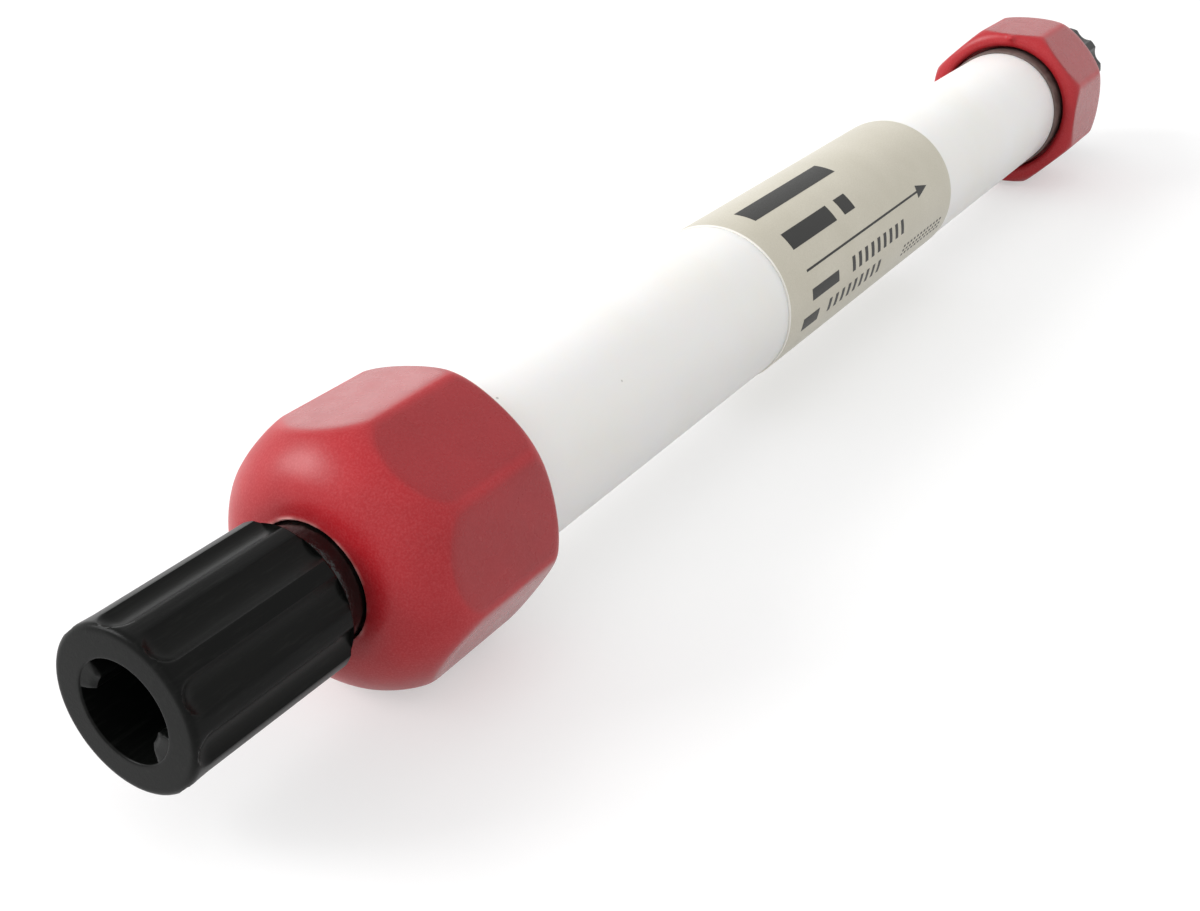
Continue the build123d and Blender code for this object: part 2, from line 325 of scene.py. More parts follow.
def flats_tree():
    """Cuts flats with soft borders round a turned nut, and marks them with the attribute "flat"."""
    tree, given = new_shaper(
        "Nut flats",
        {
            "Flats": (COUNT, 8),
            "Across flats": (LENGTH, 15.6 * MM),
            "Corner blend": (LENGTH, 0.3 * MM),
            "Material": (FINISH, None),
        },
    )
    place_xyz, radius, angle = polar_place(tree)
    turned_by = fold_angle(tree, angle, given.outputs["Flats"])
    apothem = add_node(tree, MATH, [given.outputs["Across flats"], 0.5], operation="MULTIPLY")
    cosine = add_node(tree, MATH, [turned_by], operation="COSINE")
    flat = add_node(tree, MATH, [apothem, cosine], operation="DIVIDE")
    cut = add_node(
        tree, MATH, [radius, flat, given.outputs["Corner blend"]], operation="SMOOTH_MIN"
    )
    depth = add_node(tree, MATH, [radius, flat], operation="SUBTRACT")
    on_flat = add_node(tree, RANGE, [depth, -0.02 * MM, 0.12 * MM, 0.0, 1.0])
    set_radius(tree, given, place_xyz, radius, cut, {"flat": on_flat})
    return tree


def flutes_tree():
    """Cuts round flutes along a turned grip. Each flute ends like a ball-nosed cutter's pass."""
    tree, given = new_shaper(
        "Grip flutes",
        {
            "Flutes": (COUNT, 10),
            "Flute radius": (LENGTH, 1.4 * MM),
            "Flute centre": (LENGTH, 5.5 * MM),
            "Flute end": (LENGTH, 0.01),
            "Grip start": (LENGTH, 0.0),
            "Ridge blend": (LENGTH, 0.12 * MM),
            "Material": (FINISH, None),
        },
    )
    place_xyz, radius, angle = polar_place(tree)
    turned_by = fold_angle(tree, angle, given.outputs["Flutes"])
    along = place_xyz.outputs[2]
    past = add_node(tree, MATH, [along, given.outputs["Flute end"]], operation="SUBTRACT")
    beyond = add_node(tree, MATH, [past, 0.0], operation="MAXIMUM")
    beyond_square = add_node(tree, MATH, [beyond, 2.0], operation="POWER")
    radius_square = add_node(tree, MATH, [given.outputs["Flute radius"], 2.0], operation="POWER")
    sine = add_node(tree, MATH, [turned_by], operation="SINE")
    cosine = add_node(tree, MATH, [turned_by], operation="COSINE")
    aside = add_node(tree, MATH, [given.outputs["Flute centre"], sine], operation="MULTIPLY")
    aside_square = add_node(tree, MATH, [aside, aside], operation="MULTIPLY")
    ahead = add_node(tree, MATH, [given.outputs["Flute centre"], cosine], operation="MULTIPLY")
    left = add_node(tree, MATH, [radius_square, beyond_square], operation="SUBTRACT")
    left_over = add_node(tree, MATH, [left, aside_square], operation="SUBTRACT")
    inside = add_node(tree, MATH, [left_over, 0.0], operation="MAXIMUM")
    chord = add_node(tree, MATH, [inside], operation="SQRT")
    floor_of_flute = add_node(tree, MATH, [ahead, chord], operation="SUBTRACT")
    cut = add_node(
        tree, MATH, [radius, floor_of_flute, given.outputs["Ridge blend"]], operation="SMOOTH_MIN"
    )
    on_grip = add_node(tree, MATH, [along, given.outputs["Grip start"]], operation="GREATER_THAN")
    new_radius = add_node(tree, MIX, {0: on_grip, 2: radius, 3: cut}, data_type="FLOAT")
    depth = add_node(tree, MATH, [radius, new_radius], operation="SUBTRACT")
    in_flute = add_node(tree, RANGE, [depth, 0.0, 0.35 * MM, 0.0, 1.0])
    set_radius(tree, given, place_xyz, radius, new_radius, {"flute": in_flute})
    return tree


def thread_tree():
    """Cuts a right-hand thread where the point attribute "thread" is 1 (in) or -1 (out)."""
    tree, given = new_shaper(
        "Screw thread",
        {
            "Pitch": (LENGTH, 1.5 * MM),
            "Depth": (LENGTH, 0.6 * MM),
            "Material": (FINISH, None),
        },
    )
    place_xyz, radius, angle = polar_place(tree)
    turns = add_node(tree, MATH, [angle, math.tau], operation="DIVIDE")
    pitches = add_node(
        tree, MATH, [place_xyz.outputs[2], given.outputs["Pitch"]], operation="DIVIDE"
    )
    phase = add_node(tree, MATH, [pitches, turns], operation="SUBTRACT")
    wave = add_node(tree, MATH, [phase, 0.5], operation="PINGPONG")
    flank = add_node(tree, RANGE, [wave, 0.08, 0.42, 0.0, 1.0], interpolation_type="SMOOTHSTEP")
    weight = add_node(tree, "GeometryNodeInputNamedAttribute", data_type="FLOAT")
    weight.inputs["Name"].default_value = "thread"
    deep = add_node(tree, MATH, [flank, given.outputs["Depth"]], operation="MULTIPLY")
    cut = add_node(tree, MATH, [deep, weight], operation="MULTIPLY")
    new_radius = add_node(tree, MATH, [radius, cut], operation="SUBTRACT")
    set_radius(tree, given, place_xyz, radius, new_radius, {})
    return tree


def mark_points(mesh, name, rule):
    """Store a point attribute. Rule gives it from a point's radius, distance outward and angle."""
    attribute = mesh.attributes.new(name, "FLOAT", "POINT")
    points = [tuple(vertex.co) for vertex in mesh.vertices]
    values = [rule(math.hypot(x, y), z, math.atan2(y, x)) for x, y, z in points]
    attribute.data.foreach_set("value", values)


# ---------------------------------------------------------------- materials
def new_material(name):
    """An empty material. Returns it, its tree and its Object coordinates in millimetres."""
    material = bpy.data.materials.new(name)
    material.use_nodes = True
    tree = material.node_tree
    tree.nodes.clear()
    coordinates = add_node(tree, "ShaderNodeTexCoord").outputs["Object"]
    in_mm = add_node(tree, VECTOR, [coordinates, [1000.0] * 3], operation="MULTIPLY")
    return material, tree, in_mm


def polypropylene_white():
    """Injection-moulded natural polypropylene: milky, satin, and light bleeds through its wall."""
    material, tree, in_mm = new_material("Polypropylene, white, satin moulded")
    # Flow clouds of 9 mm, and draw marks 0.35 mm wide that run along the tube
    cloud = add_node(tree, NOISE, {"Vector": in_mm, "Scale": 1 / 9.0, "Detail": 2.0})
    along = add_node(tree, VECTOR, [in_mm, (0.08, 1.0, 1.0)], operation="MULTIPLY")
    marks = add_node(tree, NOISE, {"Vector": along, "Scale": 1 / 0.35, "Detail": 4.0})
    grain = add_node(tree, NOISE, {"Vector": in_mm, "Scale": 1 / 0.18, "Detail": 3.0})
    # Dust flecks a tenth of a millimetre wide and about 4.5 mm apart
    flecks = add_node(tree, "ShaderNodeTexVoronoi", {"Vector": in_mm, "Scale": 1 / 4.5})
    fleck = add_node(tree, RANGE, [flecks, 0.022, 0.03, 0.55, 0.0])
    clouded = add_node(tree, RANGE, [cloud, 0.35, 0.65])
    base = add_node(tree, MIX, {0: clouded, 6: "FFFCF8", 7: "FBF7F1"}, data_type="RGBA")
    dusty = add_node(tree, MIX, {0: fleck, 6: base, 7: "8C8480"}, data_type="RGBA")
    rough = add_node(tree, RANGE, [marks, 0.3, 0.7, 0.3, 0.42])
    marked = add_node(tree, BUMP, {"Height": marks, "Distance": 0.004 * MM})
    grained = add_node(tree, BUMP, {"Height": grain, "Distance": 0.003 * MM, "Normal": marked})
    shader = add_node(
        tree,
        SHADER,
        {
            "Base Color": dusty,
            "Roughness": rough,
            "IOR": 1.49,
            "Specular IOR Level": 0.25,
            "Subsurface Weight": 0.6,
            "Subsurface Radius": (1.0, 0.85, 0.72),
            "Subsurface Scale": 1.1 * MM,
            "Normal": grained,
        },
    )
    add_node(tree, SURFACE, {"Surface": shader})
    return material


def label_film():
    """Printed polyester film: warm grey ink on white stock, satin, with faint print mottle."""
    material, tree, in_mm = new_material("Polyester film, warm grey, satin")
    # Print mottle of 0.12 mm, and 6 mm clouds where the film was rolled on
    mottle = add_node(tree, NOISE, {"Vector": in_mm, "Scale": 1 / 0.12, "Detail": 2.0})
    cloud = add_node(tree, NOISE, {"Vector": in_mm, "Scale": 1 / 6.0, "Detail": 2.0})
    # The film's white cut edges, 0.12 mm wide at its two ends
    half = (LABEL_END - LABEL_START) / 2 / MM
    place_xyz = add_node(tree, "ShaderNodeSeparateXYZ", [in_mm])
    off_middle = add_node(
        tree, MATH, [place_xyz, (LABEL_START + LABEL_END) / 2 / MM], operation="SUBTRACT"
    )
    away = add_node(tree, MATH, [off_middle], operation="ABSOLUTE")
    edge = add_node(tree, RANGE, [away, half - 0.14, half - 0.1])
    clouded = add_node(tree, RANGE, [cloud, 0.35, 0.65])
    mottled = add_node(tree, RANGE, [mottle, 0.3, 0.7, 0.0, 0.35])
    base = add_node(tree, MIX, {0: clouded, 6: "D2CCBB", 7: "CBC5B3"}, data_type="RGBA")
    inked = add_node(tree, MIX, {0: mottled, 6: base, 7: "BAB4A1"}, data_type="RGBA")
    cut = add_node(tree, MIX, {0: edge, 6: inked, 7: "F4F1EA"}, data_type="RGBA")
    rough = add_node(tree, RANGE, [mottle, 0.3, 0.7, 0.3, 0.4])
    uneven = add_node(tree, BUMP, {"Height": cloud, "Distance": 0.01 * MM})
    printed = add_node(tree, BUMP, {"Height": mottle, "Distance": 0.002 * MM, "Normal": uneven})
    shader = add_node(
        tree, SHADER, {"Base Color": cut, "Roughness": rough, "IOR": 1.5, "Normal": printed}
    )
    add_node(tree, SURFACE, {"Surface": shader})
    return material


def printing_ink():
    """Screen-printed ink: near black, satin, a little thinner at its grain."""
    material, tree, in_mm = new_material("Printing ink, black, screen printed")
    grain = add_node(tree, NOISE, {"Vector": in_mm, "Scale": 1 / 0.08, "Detail": 2.0})
    thin = add_node(tree, RANGE, [grain, 0.35, 0.7])
    base = add_node(tree, MIX, {0: thin, 6: "12120F", 7: "23221E"}, data_type="RGBA")
    rough = add_node(tree, RANGE, [grain, 0.3, 0.7, 0.34, 0.5])
    grained = add_node(tree, BUMP, {"Height": grain, "Distance": 0.003 * MM})
    shader = add_node(
        tree,
        SHADER,
        {"Base Color": base, "Roughness": rough, "Specular IOR Level": 0.3, "Normal": grained},
    )
    add_node(tree, SURFACE, {"Surface": shader})
    return material


def polypropylene_red(colour):
    """Moulded red polypropylene: spark texture on round faces, smoother flats darkened as painted
    shade, and pale flash that is partly a painted highlight.
    """
    material, tree, in_mm = new_material("Polypropylene, coral red, moulded")
    # Spark-eroded mould texture of 0.11 mm, and flow clouds of 3 mm under it
    spark = add_node(tree, NOISE, {"Vector": in_mm, "Scale": 1 / 0.11, "Detail": 2.0})
    cloud = add_node(tree, NOISE, {"Vector": in_mm, "Scale": 1 / 3.0, "Detail": 3.0})
    smear = add_node(tree, NOISE, {"Vector": in_mm, "Scale": 1 / 1.3, "Detail": 4.0})
    flat = add_node(tree, ATTRIBUTE, attribute_name="flat").outputs["Fac"]
    flash = add_node(tree, ATTRIBUTE, attribute_name="flash").outputs["Fac"]
    deep = [colour[0] * 0.9, colour[1] * 0.8, colour[2] * 0.82, 1.0]
    clouded = add_node(tree, RANGE, [cloud, 0.35, 0.68])
    base = add_node(tree, MIX, {0: clouded, 6: [*colour, 1.0], 7: deep}, data_type="RGBA")
    sparked = add_node(tree, RANGE, [spark, 0.4, 0.75, 0.0, 0.14])
    grained = add_node(tree, MIX, {0: sparked, 6: base, 7: "E8787C"}, data_type="RGBA")
    # Painted highlight in part: the flash's pale colour is palest at the inlet nut's lit upper side
    rim = add_node(tree, MATH, [flash, 0.8], operation="MULTIPLY")
    # A polished flat scatters less light than the sparked faces round it, so it looks deeper; its
    # darker colour is also painted shade, standing in for the dark surroundings it reflects
    flat_painted_shade = add_node(tree, RANGE, [flat, 0.0, 1.0, 0.0, 0.3])
    polished = add_node(tree, MIX, {0: flat_painted_shade, 6: grained, 7: "76181C"}, data_type="RGBA")
    pale = add_node(tree, MIX, {0: rim, 6: polished, 7: "F0B9B4"}, data_type="RGBA")
    round_rough = add_node(tree, RANGE, [smear, 0.3, 0.7, 0.34, 0.4])
    flat_rough = add_node(tree, RANGE, [smear, 0.35, 0.68, 0.25, 0.3])
    rough = add_node(tree, MIX, {0: flat, 2: round_rough, 3: flat_rough}, data_type="FLOAT")
    texture = add_node(tree, MATH, [1.0, flat], operation="SUBTRACT")
    round_spark = add_node(tree, MATH, [spark, texture], operation="MULTIPLY")
    sunk = add_node(tree, BUMP, {"Height": cloud, "Distance": 0.002 * MM})
    rugged = add_node(tree, BUMP, {"Height": round_spark, "Distance": 0.006 * MM, "Normal": sunk})
    shader = add_node(
        tree,
        SHADER,
        {
            "Base Color": pale,
            "Roughness": rough,
            "IOR": 1.5,
            "Specular IOR Level": 0.36,
            "Subsurface Weight": 0.08,
            "Subsurface Radius": (1.0, 0.25, 0.2),
            "Subsurface Scale": 0.8 * MM,
            "Normal": rugged,
        },
    )
    add_node(tree, SURFACE, {"Surface": shader})
    return material


def plug_black(colour):
    """Moulded black polypropylene: satin, dusty in its flutes, scuffed along its ridges."""
    material, tree, in_mm = new_material("Polypropylene, black, satin moulded")
    # Scuffs 0.3 mm wide that run along the plug, and mould grain of 0.1 mm
    along = add_node(tree, VECTOR, [in_mm, (0.12, 1.0, 1.0)], operation="MULTIPLY")
    scuff = add_node(
        tree, NOISE, {"Vector": along, "Scale": 1 / 0.3, "Detail": 5.0, "Roughness": 0.7}
    )
    grain = add_node(tree, NOISE, {"Vector": in_mm, "Scale": 1 / 0.1, "Detail": 2.0})
    flute = add_node(tree, ATTRIBUTE, attribute_name="flute").outputs["Fac"]
    scuffed = add_node(tree, RANGE, [scuff, 0.52, 0.8, 0.0, 0.5])
    base = add_node(tree, MIX, {0: scuffed, 6: [*colour, 1.0], 7: "262725"}, data_type="RGBA")
    dust = add_node(tree, MATH, [flute, 0.08], operation="MULTIPLY")
    dusty = add_node(tree, MIX, {0: dust, 6: base, 7: "30302D"}, data_type="RGBA")
    rough = add_node(tree, RANGE, [scuff, 0.3, 0.75, 0.27, 0.38])
    grained = add_node(tree, BUMP, {"Height": grain, "Distance": 0.004 * MM})
    rubbed = add_node(tree, BUMP, {"Height": scuff, "Distance": 0.005 * MM, "Normal": grained})
    shader = add_node(
        tree,
        SHADER,
        {
            "Base Color": dusty,
            "Roughness": rough,
            "IOR": 1.49,
            "Specular IOR Level": 0.1,
            "Normal": rubbed,
        },
    )
    add_node(tree, SURFACE, {"Surface": shader})
    return material


def plug_gloss():
    """Black polypropylene polished in its mould, on the plug's neck: wet-looking, rippled."""
    material, tree, in_mm = new_material("Polypropylene, black, gloss moulded")
    # Ripples 0.5 mm wide round the neck
    ripple = add_node(tree, NOISE, {"Vector": in_mm, "Scale": 1 / 0.5, "Detail": 3.0})
    base = add_node(tree, MIX, {0: ripple, 6: "060706", 7: "101110"}, data_type="RGBA")
    rough = add_node(tree, RANGE, [ripple, 0.3, 0.7, 0.08, 0.2])
    rippled = add_node(tree, BUMP, {"Height": ripple, "Distance": 0.05 * MM})
    shader = add_node(
        tree, SHADER, {"Base Color": base, "Roughness": rough, "IOR": 1.49, "Normal": rippled}
    )
    add_node(tree, SURFACE, {"Surface": shader})
    return material


def rubber_black():
    """Moulded nitrile rubber: matt, brownish black, slightly bloomed."""
    material, tree, in_mm = new_material("Nitrile rubber, black, moulded")
    bloom = add_node(tree, NOISE, {"Vector": in_mm, "Scale": 1 / 0.8, "Detail": 4.0})
    grain = add_node(tree, NOISE, {"Vector": in_mm, "Scale": 1 / 0.09, "Detail": 2.0})
    bloomed = add_node(tree, RANGE, [bloom, 0.4, 0.7])
    base = add_node(tree, MIX, {0: bloomed, 6: "5C4C48", 7: "75645F"}, data_type="RGBA")
    rough = add_node(tree, RANGE, [bloom, 0.3, 0.7, 0.55, 0.72])
    grained = add_node(tree, BUMP, {"Height": grain, "Distance": 0.006 * MM})
    shader = add_node(tree, SHADER, {"Base Color": base, "Roughness": rough, "Normal": grained})
    add_node(tree, SURFACE, {"Surface": shader})
    return material


def turned_plastic(name, light, dark, roughness):
    """Machined white plastic: faint rings from the cutting tool about the tube's axis."""
    material, tree, in_mm = new_material(name)
    # The tool's feed leaves a ring every 0.35 mm
    along = add_node(tree, "ShaderNodeSeparateXYZ", [in_mm])
    feed = add_node(tree, MATH, [along, 0.175], operation="PINGPONG")
    grain = add_node(tree, NOISE, {"Vector": in_mm, "Scale": 1 / 0.15, "Detail": 3.0})
    shade = add_node(tree, RANGE, [feed, 0.0, 0.175, 0.0, 0.3])
    base = add_node(tree, MIX, {0: shade, 6: light, 7: dark}, data_type="RGBA")
    rough = add_node(tree, RANGE, [grain, 0.3, 0.7, roughness - 0.05, roughness + 0.06])
    ringed = add_node(tree, BUMP, {"Height": feed, "Distance": 0.02 * MM})
    grained = add_node(tree, BUMP, {"Height": grain, "Distance": 0.003 * MM, "Normal": ringed})
    shader = add_node(
        tree, SHADER, {"Base Color": base, "Roughness": rough, "IOR": 1.49, "Normal": grained}
    )
    add_node(tree, SURFACE, {"Surface": shader})
    return material


def sintered_beads(name, light, dark, bead_mm):
    """Porous plastic or packed gel: tiny round grains that touch each other, matt, with painted
    shade in the gaps between them.
    """
    material, tree, in_mm = new_material(name)
    beads = add_node(
        tree,
        "ShaderNodeTexVoronoi",
        {"Vector": in_mm, "Scale": 1 / bead_mm, "Randomness": 0.9},
        feature="SMOOTH_F1",
    )
    # Painted shade: the colour darkens in the gaps between the beads
    gap = add_node(tree, RANGE, [beads, 0.1, 0.6])
    base = add_node(tree, MIX, {0: gap, 6: light, 7: dark}, data_type="RGBA")
    rough = add_node(tree, RANGE, [beads, 0.0, 0.6, 0.5, 0.8])
    dome = add_node(tree, MATH, [1.0, beads], operation="SUBTRACT")
    domed = add_node(tree, BUMP, {"Height": dome, "Distance": bead_mm * 0.3 * MM})
    shader = add_node(tree, SHADER, {"Base Color": base, "Roughness": rough, "Normal": domed})
    add_node(tree, SURFACE, {"Surface": shader})
    return material


def sees_white(tree):
    """1 for the camera's, gloss's and glass's rays, which see a white background."""
    path = add_node(tree, "ShaderNodeLightPath")
    camera, gloss, glass = (
        path.outputs[f"Is {kind} Ray"] for kind in ("Camera", "Glossy", "Transmission")
    )
    seen = add_node(tree, MATH, [camera, gloss], operation="MAXIMUM")
    return add_node(tree, MATH, [seen, glass], operation="MAXIMUM")


# ---------------------------------------------------------------- settings
def length(name, description, default):
    """A length that a user may set, in metres."""
    return FloatProperty(
        name=name, description=description, default=default, unit="LENGTH", precision=5
    )


def angle_property(name, description, degrees):
    """An angle that a user may set."""
    return FloatProperty(
        name=name, description=description, default=math.radians(degrees), subtype="ANGLE"
    )


def colour_property(name, description, hex_colour):
    """A colour that a user may set, kept linear."""
    return FloatVectorProperty(
        name=name,
        description=description,
        default=linear(hex_colour),
        subtype="COLOR",
        min=0,
        max=1,
    )


class TubeSettings(bpy.types.PropertyGroup):
    """Sizes of the tube and what is fixed on it."""

    bore: length("Bore radius", "Radius of the packed bore", 3.85 * MM)
    end_round: length("End round", "Round on the tube's outer end edges", 0.3 * MM)
    thread_pitch: length("Thread pitch", "Rise of the tube's thread in one turn", NUT_PITCH)
    thread_depth: length("Thread depth", "Depth of the tube's thread", 0.55 * MM)
    thread_start: length(
        "Thread start", "Where the thread starts, from the tube's middle", 50.7 * MM
    )
    groove_depth: length("Groove depth", "Depth of the guard ring's groove", 0.21 * MM)


class LabelSettings(bpy.types.PropertyGroup):
    """Sizes of the label and its print."""

    gap_turn: angle_property(
        "Gap turn", "Where the label's gap is, from the top round the tube", 215
    )
    gap_angle: angle_property("Gap angle", "How wide the label's gap is", 14)
    ink_height: length("Ink height", "How far the ink stands on the film", 0.012 * MM)
    arrow_start: length("Arrow start", "Where the flow arrow starts along the tube", -11.9 * MM)
    arrow_tip: length("Arrow tip", "Where the flow arrow ends along the tube", 12.2 * MM)
    arrow_turn: angle_property("Arrow turn", "Where the arrow is, from the top round the tube", 65)


class NutSettings(bpy.types.PropertyGroup):
    """Sizes and colour of the cap nuts."""

    flats: IntProperty(name="Flats", description="Number of flats round the nut", default=8, min=3)
    across_flats: length("Across flats", "Distance between opposite flats", 15.6 * MM)
    across_corners: length("Across corners", "Distance between opposite corners", 16.74 * MM)
    corner_blend: length("Corner blend", "Softness of the flats' borders", 0.42 * MM)
    mouth: length("Mouth radius", "Radius of the open mouth", 6.5 * MM)
    crest: length("Crest", "From the mouth's wall out to the crest of its round rim", 0.6 * MM)
    thread_depth: length("Thread depth", "Depth of the thread in the mouth", 0.5 * MM)
    colour: colour_property("Colour", "Colour of the moulded plastic", "B01F27")
    inlet_turn: angle_property("Inlet nut turn", "Turn of the inlet nut at rest", 12.1)


class PlugSettings(bpy.types.PropertyGroup):
    """Sizes and colour of the stop plugs."""

    grip: length("Grip radius", "Radius over the ridges", 4.6 * MM)
    flutes: IntProperty(
        name="Flutes", description="Number of flutes round the grip", default=10, min=3
    )
    flute_radius: length("Flute radius", "Radius of a flute", 1.4 * MM)
    flute_depth: length("Flute depth", "Depth of a flute below the ridges", 0.5 * MM)
    thread_depth: length("Thread depth", "Depth of the screw's thread", 0.35 * MM)
    colour: colour_property("Colour", "Colour of the moulded plastic", "0A0B0A")
    inlet_turn: angle_property("Inlet plug turn", "Turn of the inlet plug at rest", 7.2)
    outlet_turn: angle_property("Outlet plug turn", "Turn of the outlet plug at rest", 28.5)


class StageSettings(bpy.types.PropertyGroup):
    """Lamps, sky and camera."""

    key_watts: FloatProperty(
        name="Key light", description="Power of the large soft lamp", default=4.9
    )
    back_watts: FloatProperty(
        name="Back light", description="Power of the low lamp behind", default=0.9
    )
    fill_watts: FloatProperty(name="Fill light", description="Power of the fill lamp", default=0.4)
    sky: FloatProperty(
        name="Sky", description="Strength of the even light from all round", default=0.82
    )
    focal: FloatProperty(
        name="Focal length", description="Camera focal length in mm", default=45.98
    )


SETTINGS = {
    "column_tube_settings": TubeSettings,
    "column_label_settings": LabelSettings,
    "column_nut_settings": NutSettings,
    "column_plug_settings": PlugSettings,
    "column_stage_settings": StageSettings,
}


# ---------------------------------------------------------------- pieces
class COLUMN_OT_tube(bpy.types.Operator):
    """Build the tube with its grooves and end threads."""

    bl_idname = "column.make_tube"
    bl_label = "Make tube"

    def execute(self, context):
        sizes = context.scene.column_tube_settings
        groove = TUBE_RADIUS - sizes.groove_depth
        half = [
            (TUBE_RADIUS, GUARD_START),
            (groove, GUARD_START),
            (groove, GUARD_END),
            (TUBE_RADIUS, GUARD_END),
            (TUBE_RADIUS, TUBE_END),
            (sizes.bore, TUBE_END),
        ]
        mirrored = [(radius, -distance) for radius, distance in reversed(half)]
        outline = soften(half + mirrored, {4: sizes.end_round, 7: sizes.end_round})
        outline = self.crowd_threads(outline, sizes)
        mesh = turned("column_tube_dressed", outline, 192)
        mark_points(
            mesh,
            "thread",
            lambda radius, distance, angle: float(
                radius > TUBE_RADIUS - 1e-6
                and sizes.thread_start < abs(distance) < TUBE_END - sizes.end_round
            ),
        )
        material = polypropylene_white()
        values = {"Pitch": sizes.thread_pitch, "Depth": sizes.thread_depth, "Material": material}
        mesh = run_tree(mesh, thread_tree(), values)
        mesh.transform(end_matrix("outlet"))
        finish_mesh(mesh, material)
        place(mesh, "column_tube_dressed", "column", ["column_tube"])
        return {"FINISHED"}

    def crowd_threads(self, outline, sizes):
        """The outline with points close together where the threads are, and far apart elsewhere."""
        crowded = []
        for start, end in zip(outline, outline[1:] + outline[:1]):
            outside = min(start[0], end[0]) > TUBE_RADIUS - 1e-6
            threaded = outside and min(abs(start[1]), abs(end[1])) > GUARD_END - 1e-6 and start[
                1
            ] * end[1] > 0
            crowded += split(start, end, sizes.thread_pitch / 20 if threaded else 4 * MM)
        return crowded


def wrapped_patch(name, start, end, first_turn, last_turn, low, high, steps, columns=1):
    """A closed thin patch on the tube. Start and end are places or rules of the turn in degrees."""
    vertices, faces = [], []
    starts = start if callable(start) else (lambda turn: start)
    ends = end if callable(end) else (lambda turn: end)
    for radius in (high, low):
        for i in range(steps + 1):
            turn = first_turn + (last_turn - first_turn) * i / steps
            sine, cosine = math.sin(math.radians(turn)), math.cos(math.radians(turn))
            for j in range(columns + 1):
                x = starts(turn) + (ends(turn) - starts(turn)) * j / columns
                vertices.append((x, -radius * sine, radius * cosine))
    row = columns + 1
    under = (steps + 1) * row
    for i in range(steps):
        for j in range(columns):
            a, b = i * row + j, (i + 1) * row + j
            faces.append((a, a + 1, b + 1, b))
            faces.append((under + a, under + b, under + b + 1, under + a + 1))
    rim = [j for j in range(row)]
    rim += [i * row + columns for i in range(1, steps + 1)]
    rim += [steps * row + j for j in reversed(range(columns))]
    rim += [i * row for i in reversed(range(1, steps))]
    for here, there in zip(rim, rim[1:] + rim[:1]):
        faces.append((here, under + here, under + there, there))
    mesh = bpy.data.meshes.new(name)
    mesh.from_pydata(vertices, [], faces)
    return mesh


def joined(name, meshes):
    """One mesh of several."""
    vertices, faces = [], []
    for mesh in meshes:
        base = len(vertices)
        vertices += [tuple(v.co) for v in mesh.vertices]
        faces += [tuple(base + v for v in polygon.vertices) for polygon in mesh.polygons]
        bpy.data.meshes.remove(mesh)
    result = bpy.data.meshes.new(name)
    result.from_pydata(vertices, [], faces)
    return result


class COLUMN_OT_label(bpy.types.Operator):
    """Build the wrapped label and its plain print: a flow arrow, bars and ticks, and no words."""

    bl_idname = "column.make_label"
    bl_label = "Make label"

    def execute(self, context):
        sizes = context.scene.column_label_settings
        gap_turn, gap = math.degrees(sizes.gap_turn), math.degrees(sizes.gap_angle)
        # The end frame's turns run from up towards +Y here, and the print's run towards -Y.
        first = gap_turn + gap / 2 - 360
        film = wrapped_patch(
            "column_label_dressed",
            LABEL_START,
            LABEL_END,
            first,
            gap_turn - gap / 2,
            TUBE_RADIUS + 0.01 * MM,
            LABEL_RADIUS,
            300,
            columns=12,
        )
        finish_mesh(film, label_film())
        place(film, "column_label_dressed", "column", ["column_label"])
        ink = joined("label_print", self.print_marks(sizes))
        finish_mesh(ink, printing_ink(), 60)
        place(ink, "label_print", "column")
        return {"FINISHED"}

    def print_marks(self, sizes):
        """Makes each mark from its place along the tube and round it, in degrees from the top."""
        low, high = LABEL_RADIUS - 0.02 * MM, LABEL_RADIUS + sizes.ink_height
        turn = math.degrees(sizes.arrow_turn)
        head_start, half_head, half_line = 10.0 * MM, 5.2, 0.85

        def bar(start, end, first, last, columns):
            steps = max(2, round(abs(last - first)))
            return wrapped_patch(
                "mark", start * MM, end * MM, first, last, low, high, steps, columns
            )

        def head_end(at):
            return sizes.arrow_tip - (sizes.arrow_tip - head_start) * abs(at - turn) / half_head

        first, last = turn - half_head, turn + half_head
        marks = [
            bar(sizes.arrow_start / MM, head_start / MM, turn - half_line, turn + half_line, 8),
            wrapped_patch("head", head_start, head_end, first, last, low, high, 16),
        ]
        # A row's start and end along the tube in mm, first and last turn, columns, count and pitch
        rows = [
            (-12.6, 1.6, -3.0, 14.0, 4, 1, 0.0),
            (-12.2, -4.4, 33.5, 47.5, 3, 1, 0.0),
            (-2.9, -0.9, 33.5, 47.5, 1, 1, 0.0),
            (-11.7, -6.9, 79.0, 87.5, 2, 1, 0.0),
            (-4.3, -3.75, 77.0, 88.5, 1, 9, 1.25),
            (-13.0, -10.2, 97.5, 107.0, 1, 1, 0.0),
            (-8.4, -7.9, 96.5, 107.0, 1, 9, 1.2),
        ]
        rows += [(7.0, 7.35, 101.0 + 4 * j, 102.9 + 4 * j, 1, 12, 0.75) for j in range(3)]
        for start, end, first, last, columns, count, pitch in rows:
            steps = [pitch * i for i in range(count)]
            marks += [bar(start + step, end + step, first, last, columns) for step in steps]
        return marks


class COLUMN_OT_guard_rings(bpy.types.Operator):
    """Build the dark guard rings between the nuts and the bare tube."""

    bl_idname = "column.make_guard_rings"
    bl_label = "Make guard rings"

    def execute(self, context):
        thickness, edge = 0.4 * MM, 0.12 * MM
        inner = GUARD_RADIUS - thickness
        outline = [
            (inner, GUARD_START),
            (GUARD_RADIUS, GUARD_START),
            (GUARD_RADIUS, GUARD_END),
            (inner, GUARD_END),
        ]
        outline = soften(outline, {1: edge, 2: edge})
        material = rubber_black()
        for end in OUTWARD:
            mesh = turned(f"{end}_guard_ring_dressed", outline, 160)
            mesh.transform(end_matrix(end))
            finish_mesh(mesh, material)
            place(mesh, mesh.name, "column", [f"{end}_guard_ring"])
        return {"FINISHED"}


